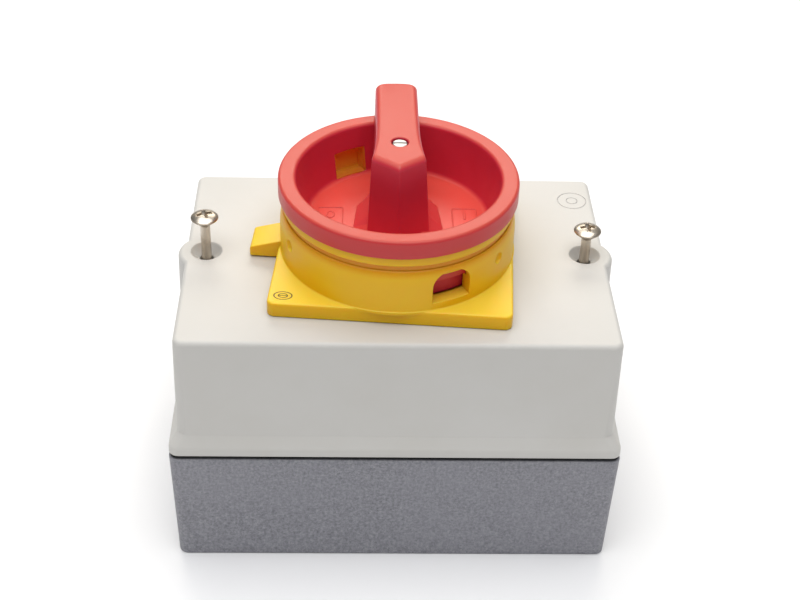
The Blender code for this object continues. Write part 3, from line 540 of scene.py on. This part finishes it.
def front_plate():
    edge = [(PLATE_TOP - drop, inset) for drop, inset in rounding(0.9, 6)]
    deep, middle = (PLATE_HALF - PLATE_FRONT) / 2, (PLATE_HALF + PLATE_FRONT) / 2
    plate = loft("yellow_plate", [
        (z, [(x, y + middle) for x, y in
             rounded_rectangle(PLATE_HALF - inset, deep - inset, 3.0 - inset)])
        for z, inset in [(PLATE_LOW, 0.0)] + edge])
    shoulder = arc(42.3, 118.6, COLLAR_R - 42.3, 0, 90, 12, tall=COLLAR_TOP - 118.6)
    foot = [(COLLAR_R + 0.5 * (1 - math.cos(a)), PLATE_TOP + 0.5 * (1 - math.sin(a)))
            for a in (math.radians(90 - 22.5 * i) for i in range(5))]
    join(plate, lathe("collar", [(COLLAR_FOOT_R, PLATE_TOP - 1), (COLLAR_R + 0.5, PLATE_TOP - 1)]
                      + foot + shoulder + [(42.2, 121.5), (COLLAR_INNER_R, 121.5),
                                           (COLLAR_INNER_R, COLLAR_STEP + 0.6),
                                           (COLLAR_FOOT_R, COLLAR_STEP)], 192))
    half = ARCH_WIDTH / 2
    crown = arc(0, ARCH_SPRING, half, 0, 180, 24, tall=ARCH_CROWN - ARCH_SPRING)
    outline = [(-half, ARCH_SILL), (half, ARCH_SILL)] + crown
    arch = loft("arch", [(36.0, outline), (50.0, outline)])
    upright = Matrix(((0, 0, 1, 0), (1, 0, 0, 0), (0, 1, 0, 0), (0, 0, 0, 1)))
    arch.data.transform(upright)
    cutters = [shifted(arch, turn=math.radians(ARCH_AZIMUTH))]
    for azimuth in DIMPLE_AZIMUTHS:
        hollow = arc(0, 1.1, 2.6, -90, 0, 10)
        dimple = lathe("dimple", hollow + [(2.8, 2.4), (0, 2.4)], 32)
        dimple.data.transform(Matrix.Translation((COLLAR_R * MM, 0, DIMPLE_Z * MM))
                              @ Matrix.Rotation(math.pi / 2, 4, "Y"))
        cutters.append(shifted(dimple, turn=math.radians(azimuth)))
    clear = SLIDE_WIDTH / 2 + 0.3
    cutters.append(block("slide_way", (-50, -clear, 97), (-17, clear, 110.4)))
    cutters.append(rod("bore", 9, 90, 115))
    for x, y in PLATE_SCREWS:
        cutters.append(shifted(rod("pilot", 1.75, 90, 106.5, 32), x, y))
    return shifted(cut(plate, *cutters), turn=PLATE_TURN)


def nylon(name, glow, depth, spread):
    """Coloured nylon that light soaks into by depth metres; its drift, fine grain and scuffs."""
    finish = Finish(name, IOR=1.42, Subsurface_Weight=glow, Subsurface_Scale=depth,
                    Subsurface_Radius=spread)
    return finish, finish.noise(26, 4, 0.6), finish.noise(2400, 3, 0.7), finish.noise(160, 5)


def glossy(finish, colour, roughness, scuffs, fine, rounded):
    return finish.wear(colour, roughness + 0.10 * scuffs + 0.08 * fine, fine + 0.3 * scuffs,
                       0.010, rounded)


def yellow_nylon():
    """The plate's yellow: paler on top as a painted sheen, deeper orange in the groove as painted
    shade.
    """
    finish, drift, fine, scuffs = nylon("yellow nylon", 0.45, 0.003, (1.0, 0.32, 0.04))
    height = finish.height()
    # The groove band runs from the collar's shoulder up the ring's lower part; mixed in below, it
    # is painted shade under the rim's overhang.
    groove = finish.steps(height, 0.1222, 0.1256) * (1 - finish.steps(height, 0.1270, 0.1274))
    colour = finish.mix(YELLOW_LIGHT, YELLOW_DEEP, finish.steps(drift, 0.35, 0.75) * 0.8)
    colour = finish.mix(colour, YELLOW_DEEP, finish.steps(fine, 0.55, 0.8) * 0.35)
    edge, rounded = finish.edges(0.45)
    colour = finish.mix(colour, YELLOW_RUBBED, edge * 0.3)
    # Painted sheen: upward faces are mixed towards a paler, greener yellow that stands in for light
    # falling on the tops.
    colour = finish.mix(colour, YELLOW_PAINTED_SHEEN, finish.facing_up() * 0.9)
    colour = finish.mix(colour, YELLOW_GROOVE_SHADE, groove * 0.8)
    return glossy(finish, colour, 0.31, scuffs, fine, rounded)


def plate_mark():
    """A plain printed oval with a bar across it, a hair proud of the plate."""
    low, high = PLATE_TOP - 0.3, PLATE_TOP + 0.03
    oval = band("printed_mark", 2.9, 3.3, low, high, 72)
    inner = band("inner_oval", 1.4, 1.75, low, high, 48)
    for ring in (oval, inner):
        ring.data.transform(Matrix.Diagonal((1.05, 0.74, 1, 1)))
    join(oval, inner, block("bar", (-1.7, -0.14, low), (1.7, 0.14, high)))
    return shifted(oval, -41.6, -34.6, turn=PLATE_TURN)


YELLOW_LIGHT, YELLOW_DEEP = (0.86, 0.505, 0.002), (0.82, 0.455, 0.0015)
# The groove colour on this line is painted shade under the rim.
YELLOW_RUBBED, YELLOW_GROOVE_SHADE = (0.88, 0.56, 0.015), (0.80, 0.24, 0.001)
# A painted sheen for upward faces.
YELLOW_PAINTED_SHEEN = (0.90, 0.64, 0.050)
YELLOW = yellow_nylon()
PRINT = moulded("brown print", (0.115, 0.050, 0.010), (0.20, 0.10, 0.02), 0.6)
dress(plate_mark(), PRINT, "cover", "dark_moulding")
dress(front_plate(), YELLOW, "cover", "yellow_moulding", "front_plate")
for number in (1, 2):
    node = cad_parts[f"front_plate_screw_{number}"]
    coat(node, ZINC)
    soften(node, 0.2)


# ---------------------------------------------------------------- lock slide
# A yellow wedge-topped bolt of the same nylon, in a slot in the plate's left side. It is held by
# the slot and pushed in by hand.


def lock_slide():
    tip, root, inner, low = -55.2, -44.3, -27.0, 102.9
    outline = [(tip, low), (inner, low), (inner, 110.0), (root, 110.0), (tip + 1.2, 107.2),
               (tip + 0.5, 106.9), (tip + 0.1, 106.4), (tip, 105.9)]
    half = SLIDE_WIDTH / 2
    slide = loft("yellow_slide", [(-half, outline), (half, outline)])
    on_its_side = Matrix(((1, 0, 0, 0), (0, 0, 1, 0), (0, 1, 0, 0), (0, 0, 0, 1)))
    slide.data.transform(on_its_side)
    slide.data.flip_normals()
    return shifted(slide, turn=PLATE_TURN)


dress(soften(lock_slide(), 0.45, 3), YELLOW, "lock_slide", "yellow_moulding", "lock_slide")


# ---------------------------------------------------------------- handle
# A red bowl with a wide rim and a grip across it, moulded in one. Two square windows in its wall
# take a padlock, and a yellow ring is snapped round it under the rim.

RIM_R, RIM_INNER_R, RIM_TOP, RIM_BOTTOM = 44.4, 37.8, 138.6, 131.3
FLOOR_R, FLOOR_TOP = 34.8, 118.8
BOWL_R, SKIRT_R, SKIRT_TOP = 40.7, 38.0, 117.8
GRIP_TOP = 152.3
# Half widths at the side, back, waist and front, then the y of the front corners and of the tip
GRIP_LOW, GRIP_HIGH = (9.2, 9.1, 9.5, 11.8, -12.5, -19.5), (8.0, 8.0, 8.1, 9.9, -10.7, -18.0)
GRIP_LEAN, GRIP_ROUND = -0.5, 2.2
WINDOWS = (121.5, 205.2)  # degrees round from +X
WINDOW_Y, WINDOW_Z = (-7.2, 6.2), (FLOOR_TOP + 0.35, 129.8)
RING_LOW, RING_LIP, RING_HIGH = 121.8, 127.3, 130.9


def eased(outline, radii, steps=6):
    """The outline with each corner replaced by a curve that starts radius before it."""
    made = []
    for i, radius in enumerate(radii):
        corner, before, after = (Vector(outline[k % len(outline)]) for k in (i, i - 1, i + 1))
        if not radius:
            made.append(tuple(corner))
            continue
        start = corner + (before - corner).normalized() * radius
        end = corner + (after - corner).normalized() * radius
        for k in range(steps + 1):
            t = k / steps
            made.append(tuple(start * (1 - t) ** 2 + corner * 2 * t * (1 - t) + end * t * t))
    return made


def grip_outline(share, inset=0.0):
    """The grip's plan between its foot (0) and its shoulder (1), drawn in by inset near the top."""
    side, back, waist, front, front_y, tip = (
        low + (high - low) * share for low, high in zip(GRIP_LOW, GRIP_HIGH))
    side, back, waist = (size - inset for size in (side, back, waist))
    front, front_y, tip = front - 0.75 * inset, front_y + 1.1 * inset, tip + 1.5 * inset
    flare = [(front, front_y)]
    for k in range(1, 9):
        y = front_y + (12.0 - front_y) * k / 8
        flare.append((waist + (front - waist) * (1 - k / 8) ** 2, y))
    reach = RIM_R - 0.1 - 0.45 * inset
    half = [*flare, (side, 22.0), (back, math.sqrt(reach ** 2 - back ** 2)),
            (back * 0.5, math.sqrt(reach ** 2 - back ** 2 / 4))]
    outline = half + [(0.0, reach)] + [(-x, y) for x, y in reversed(half)] + [(0.0, tip)]
    radii = [1.0] + [0.0] * 9 + [2.4, 0.0, 0.0, 0.0, 2.4] + [0.0] * 9 + [1.0, 0.8]
    return [(x + GRIP_LEAN * share, y) for x, y in eased(outline, radii)]


def bowl():
    under = FLOOR_TOP - 3.0
    rim_out = arc(RIM_R - 1.3, RIM_TOP - 1.3, 1.3, 0, 90, 8)
    rim_in = arc(RIM_INNER_R + 1.5, RIM_TOP - 1.6, 1.6, 90, 175, 8)
    fillet = [(FLOOR_R - 2.2 + 2.3 * math.sin(a), FLOOR_TOP + 2.3 * (1 - math.cos(a)))
              for a in (math.radians(80 - 10 * i) for i in range(9))]
    return lathe("red_handle", [
        (0, under), (SKIRT_R - 2.6, under), (SKIRT_R - 2.4, 111.0), (SKIRT_R, 111.0),
        (SKIRT_R, SKIRT_TOP), (BOWL_R, SKIRT_TOP + 0.6), (BOWL_R, RIM_BOTTOM),
        (RIM_R - 0.6, RIM_BOTTOM),
        (RIM_R - 0.18, RIM_BOTTOM + 0.18), (RIM_R, RIM_BOTTOM + 0.6)]
        + rim_out + rim_in + fillet + [(0, FLOOR_TOP)], 192)


def position_marks():
    """The raised 0 and I of the switch positions, each in a thin frame on the bowl's floor."""
    low, high, x, y, marks = FLOOR_TOP - 0.5, FLOOR_TOP + 0.22, 25.2, 2.6, []
    for side in (-1, 1):
        outer, inner = rounded_rectangle(4.7, 7.0, 0.6, 2), rounded_rectangle(4.45, 6.75, 0.4, 2)
        panel = loft("frame", [(low, outer), (high, outer)])
        cut(panel, loft("inside", [(low - 1, inner), (high + 1, inner)]))
        marks.append(shifted(panel, side * x, 0.3))
    oval = band("zero", 1.35, 1.95, low, high, 48)
    oval.data.transform(Matrix.Diagonal((0.8, 1.25, 1, 1)))
    marks.append(shifted(oval, -x, y))
    marks.append(shifted(block("one", (-0.4, -2.5, low), (0.4, 2.5, high)), x, y))
    return marks


def handle():
    red = bowl()
    foot, shoulder = FLOOR_TOP - 1.0, GRIP_TOP - GRIP_ROUND
    sections = [(foot + (shoulder - foot) * k / 4, grip_outline(k / 4)) for k in range(5)]
    for k in range(1, 9):
        a = math.radians(11.25 * k)
        sections.append((shoulder + GRIP_ROUND * math.sin(a),
                         grip_outline(1.0, GRIP_ROUND * (1 - math.cos(a)))))
    grip = loft("grip", sections)
    cut(grip, lathe("below_rim", [(39.8, 100), (60, 100), (60, 134), (39.8, 134)], 192))
    plan = [(-12.6, 12.4), (-15.2, 8.4), (-16.6, -6), (-12, -18), (12, -18), (16.6, -6),
            (15.2, 8.4), (12.6, 12.4)]
    crest = [(-8.5, 11.5), (-9.0, 8.2), (-10.2, -6), (-6, -11), (6, -11), (10.2, -6), (9.0, 8.2),
             (8.5, 11.5)]
    plinth = loft("plinth", [(foot, plan), (FLOOR_TOP + 0.2, plan), (FLOOR_TOP + 6.5, crest)])
    hub = lathe("hub", [(0, 103.4), (6.7, 103.4), (7.2, 103.9), (7.2, foot), (0, foot)])
    join(red, plinth, grip, hub, *position_marks())
    cutters = [block("socket", (-3.3, -3.3, 98), (3.3, 3.3, 135.2)),
               lathe("screw_hole", [(0, 134), (1.8, 134), (1.8, 148.6), (3.1, 148.6), (3.1, 151.9),
                                    (3.25, 152.15), (3.5, 152.3), (3.5, 156), (0, 156)], 64)]
    (left, right), (low, high) = WINDOW_Y, WINDOW_Z
    for azimuth in WINDOWS:
        window = block("window", (34.0, left, low), (44.0, right, high))
        cutters.append(shifted(window, turn=math.radians(azimuth)))
    return cut(red, *cutters)


def snap_ring():
    inner, skirt = 41.05, 42.12
    lip = arc(42.8, 130.6, 0.3, 0, 90, 4)
    return lathe("yellow_ring", lip + [
        (inner, RING_HIGH), (inner, RING_LOW), (skirt, RING_LOW), (skirt, RING_LIP), (42.4, 127.4),
        (42.8, 127.5), (43.1, 127.9)], 192)


def window_frame(azimuth):
    """A thin lining for a padlock window, pushed in from outside and closed at its outer end, a
    sheet that hides shaded gaps and steps behind the window.
    """
    (left, right), (low, high), thin = WINDOW_Y, WINDOW_Z, 0.35
    frame_piece = block("window_frame", (34.0, left, low), (BOWL_R, right, high))
    opening = block("opening", (30.0, left + thin, low + thin), (40.2, right - thin, high - thin))
    wall = (RIM_INNER_R - FLOOR_R) / (RIM_TOP - FLOOR_TOP)
    inside = lathe("inside", [(0, 110), (FLOOR_R + 0.1 - 8.8 * wall, 110),
                              (FLOOR_R + 0.1 + 20 * wall, 138.8), (0, 138.8)], 192)
    return cut(shifted(frame_piece, turn=math.radians(azimuth)),
               shifted(opening, turn=math.radians(azimuth)), inside)


def red_nylon():
    """The handle's red: painted light on its upward faces, bluer inside as painted sheen, and
    rubbed along its edges.
    """
    finish, drift, fine, scuffs = nylon("red nylon", 0.3, 0.002, (1.0, 0.10, 0.08))
    outside = finish.steps(finish.from_axis(), 0.0384, 0.0400)
    colour = finish.mix((0.61, 0.032, 0.062), (0.56, 0.024, 0.052), finish.steps(drift, 0.35, 0.75))
    # Painted sheen: inside the bowl the red keeps more blue, standing in for grey light on its
    # shaded walls; outer faces take a plainer, warmer red.
    colour = finish.mix(colour, (0.58, 0.038, 0.042), outside)
    colour = finish.mix(colour, (0.52, 0.020, 0.040), finish.steps(fine, 0.55, 0.8) * 0.35)
    # Painted light: upward faces are mixed to a red with more green, brighter low in the bowl,
    # standing in for sheen and light on the tops.
    painted_top_light = finish.mix((0.73, 0.082, 0.060), (0.585, 0.072, 0.050),
                       finish.steps(finish.height(), 0.125, 0.135))
    colour = finish.mix(colour, painted_top_light, finish.facing_up())
    edge, rounded = finish.edges(0.45)
    colour = finish.mix(colour, (0.70, 0.095, 0.075), edge * 0.35)
    return glossy(finish, colour, 0.29, scuffs, fine, rounded)


def amber_nylon():
    """The window linings: thin orange nylon, coloured brighter at their closed back as a painted
    glow.
    """
    finish = Finish("amber nylon", IOR=1.42, Subsurface_Weight=0.5, Subsurface_Scale=0.003,
                    Subsurface_Radius=(1.0, 0.3, 0.04))
    fine, deep = finish.noise(2400, 3, 0.7), finish.steps(finish.from_axis(), 0.0362, 0.0400)
    # Painted glow: towards the closed back the lining is mixed to a brighter orange that stands in
    # for light coming through the nylon.
    colour = finish.mix((0.70, 0.20, 0.020), (1.0, 0.44, 0.045), deep)
    colour = finish.mix(colour, (0.70, 0.22, 0.010), finish.steps(fine, 0.5, 0.8) * 0.3)
    return finish.wear(colour, 0.40 + 0.1 * fine, fine, 0.010)


RED = red_nylon()
AMBER = amber_nylon()
dress(handle(), RED, "handle", "red_moulding", "handle", sharp=28)
dress(snap_ring(), YELLOW, "handle", "yellow_moulding", "handle_ring")
# The window linings are sheets over shaded gaps, with a painted glow.
for azimuth in WINDOWS:
    dress(window_frame(azimuth), AMBER, "handle", "yellow_moulding")


# ---------------------------------------------------------------- screws
# Nickel-plated slotted screw down through the grip, and two long cross-head screws with raised
# countersunk heads in the cover, here backed out of their posts by different amounts.


SCREW_R, SCREW_LENGTH = 1.9, 66.0
HEAD_R, HEAD_DOME, DOME_ANGLE = 5.2, 1.75, 1.2


def grip_screw():
    top = GRIP_TOP - 0.5
    screw = lathe("slotted_screw", [(0, top - 15.2), (1.4, top - 15.2), (1.4, 149.0), (2.7, 149.0)]
                  + arc(2.3, top - 0.4, 0.4, 0, 90, 5) + [(0, top + 0.05)], 48)
    return cut(screw, block("slot", (-4, -0.4, top - 0.8), (4, 0.4, top + 1)))


def thread(low, high, radius, pitch, depth, steps=32):
    """A screw thread's solid: the radius falls and rises once for each pitch of its helix."""
    rows = int((high - low) / pitch * 6)
    sections = []
    for row in range(rows + 1):
        z = low + (high - low) * row / rows
        fade = min(1.0, row / 8, (rows - row) / 12)
        outline = []
        for i in range(steps):
            wave = abs(((z / pitch - i / steps) % 1.0) * 2 - 1)
            reach = radius - depth * (1 - fade + fade * wave)
            angle = 2 * math.pi * i / steps
            outline.append((reach * math.cos(angle), reach * math.sin(angle)))
        sections.append((z, outline))
    return loft("thread", sections)


def cover_screw(side, turn, head_top):
    dome = [(HEAD_R * math.sin(a), -HEAD_DOME * (1 - math.cos(a)) / (1 - math.cos(DOME_ANGLE)))
            for a in (DOME_ANGLE * k / 10 for k in range(11))]
    dome = [(x / math.sin(DOME_ANGLE), z) for x, z in dome]
    screw = lathe("long_screw_" + side, dome + [
        (HEAD_R, -2.05), (5.05, -2.25), (2.6, -4.5), (2.1, -4.95), (SCREW_R, -5.4),
        (SCREW_R, -41.0), (1.5, -41.6), (1.5, -65.0), (1.1, -SCREW_LENGTH), (0, -SCREW_LENGTH)],
        64)
    recess = []
    for quarter in (0.0, math.pi / 2):
        recess.append(shifted(loft("arm", [
            (-2.6, [(-0.9, -0.35), (0.9, -0.35), (0.9, 0.35), (-0.9, 0.35)]),
            (-0.9, [(-2.7, -0.65), (2.7, -0.65), (2.7, 0.65), (-2.7, 0.65)]),
            (0.4, [(-3.2, -0.8), (3.2, -0.8), (3.2, 0.8), (-3.2, 0.8)])]), turn=turn + quarter))
    core = lathe("core", [(0, -2.9), (0.9, -2.5), (1.35, 0.4), (0, 0.4)], 24)
    cut(screw, *recess, core)
    join(screw, thread(-64.6, -41.2, SCREW_R, 0.7, 0.34))
    x = -POST_X if side == "left" else POST_X
    return shifted(screw, x, POST_Y, head_top)


NICKEL = plated("nickel plate", (0.56, 0.555, 0.55), (0.45, 0.44, 0.43), 0.42,
                corner=(0.34, 0.33, 0.32))
AGED_ZINC = plated("aged zinc plate", (0.60, 0.535, 0.455), (0.40, 0.325, 0.235), 0.30,
                   (1.0, 1.0, 5.0), corner=(0.25, 0.155, 0.085), reach=0.45)
dress(grip_screw(), NICKEL, "handle", "zinc_plated_steel", "handle_screw")
dress(cover_screw("left", 0.35, 119.4), AGED_ZINC, "cover_screw_left", "zinc_plated_steel",
      "cover_screw_left")
dress(cover_screw("right", 0.1, 115.4), AGED_ZINC, "cover_screw_right", "zinc_plated_steel",
      "cover_screw_right")


# ---------------------------------------------------------------- floor, light and camera
# A white table top under broad soft lights: a large panel high at the back and one overhead.


def floor():
    side = 6000.0
    corners = [(-side, -side, 0), (side, -side, 0), (side, side, 0), (-side, side, 0)]
    top = solid("table_top", corners, [[0, 1, 2, 3]])
    finish = Finish("white table top")
    grain = finish.noise(60, 4, 0.6)
    colour = finish.mix((0.945, 0.95, 0.965), (0.93, 0.935, 0.95), grain)
    top.data.materials.append(finish.wear(colour, 0.75 + 0.05 * grain, grain, 0.01))


def panel(name, where, size, power, colour):
    light = bpy.data.lights.new(name, "AREA")
    light.shape, light.size, light.size_y, light.energy = "RECTANGLE", *size, power
    light.color = colour
    lamp = bpy.data.objects.new(name, light)
    lamp.location = where
    aim = Vector((0.0, 0.0, 0.05)) - Vector(where)
    lamp.rotation_euler = aim.to_track_quat("-Z", "Y").to_euler()
    bpy.context.scene.collection.objects.link(lamp)


floor()
panel("back_panel", (0.0, 1.65, 1.35), (1.7, 0.8), 19.5, (1.0, 0.94, 0.82))
panel("top_panel", (-0.08, -0.22, 1.9), (2.1, 2.1), 42, (1.0, 0.99, 0.98))
world = bpy.data.worlds.new("studio")
world.use_nodes = True
sky = world.node_tree.nodes["Background"]
sky.inputs["Color"].default_value = (0.96, 0.98, 1.0, 1.0)
sky.inputs["Strength"].default_value = 0.21
bpy.context.scene.world = world
bpy.context.scene.view_settings.view_transform = "Standard"

PITCH, YAW, ROLL = 0.644391, 0.0415511, 0.0347839
lens = bpy.data.cameras.new("camera")
lens.lens, lens.sensor_width = 65.946, 36.0
lens.clip_start, lens.clip_end = 0.01, 50.0
ahead = Vector((math.sin(YAW) * math.cos(PITCH), math.cos(YAW) * math.cos(PITCH),
                -math.sin(PITCH)))
level = Vector((math.cos(YAW), -math.sin(YAW), 0.0))
above = level.cross(ahead)
right = math.cos(ROLL) * level + math.sin(ROLL) * above
upright = math.cos(ROLL) * above - math.sin(ROLL) * level
camera = bpy.data.objects.new("camera", lens)
camera.matrix_world = (Matrix.Translation((-0.0170278, -0.457103, 0.424545))
                       @ Matrix((right, upright, -ahead)).transposed().to_4x4())
bpy.context.scene.collection.objects.link(camera)
bpy.context.scene.camera = camera
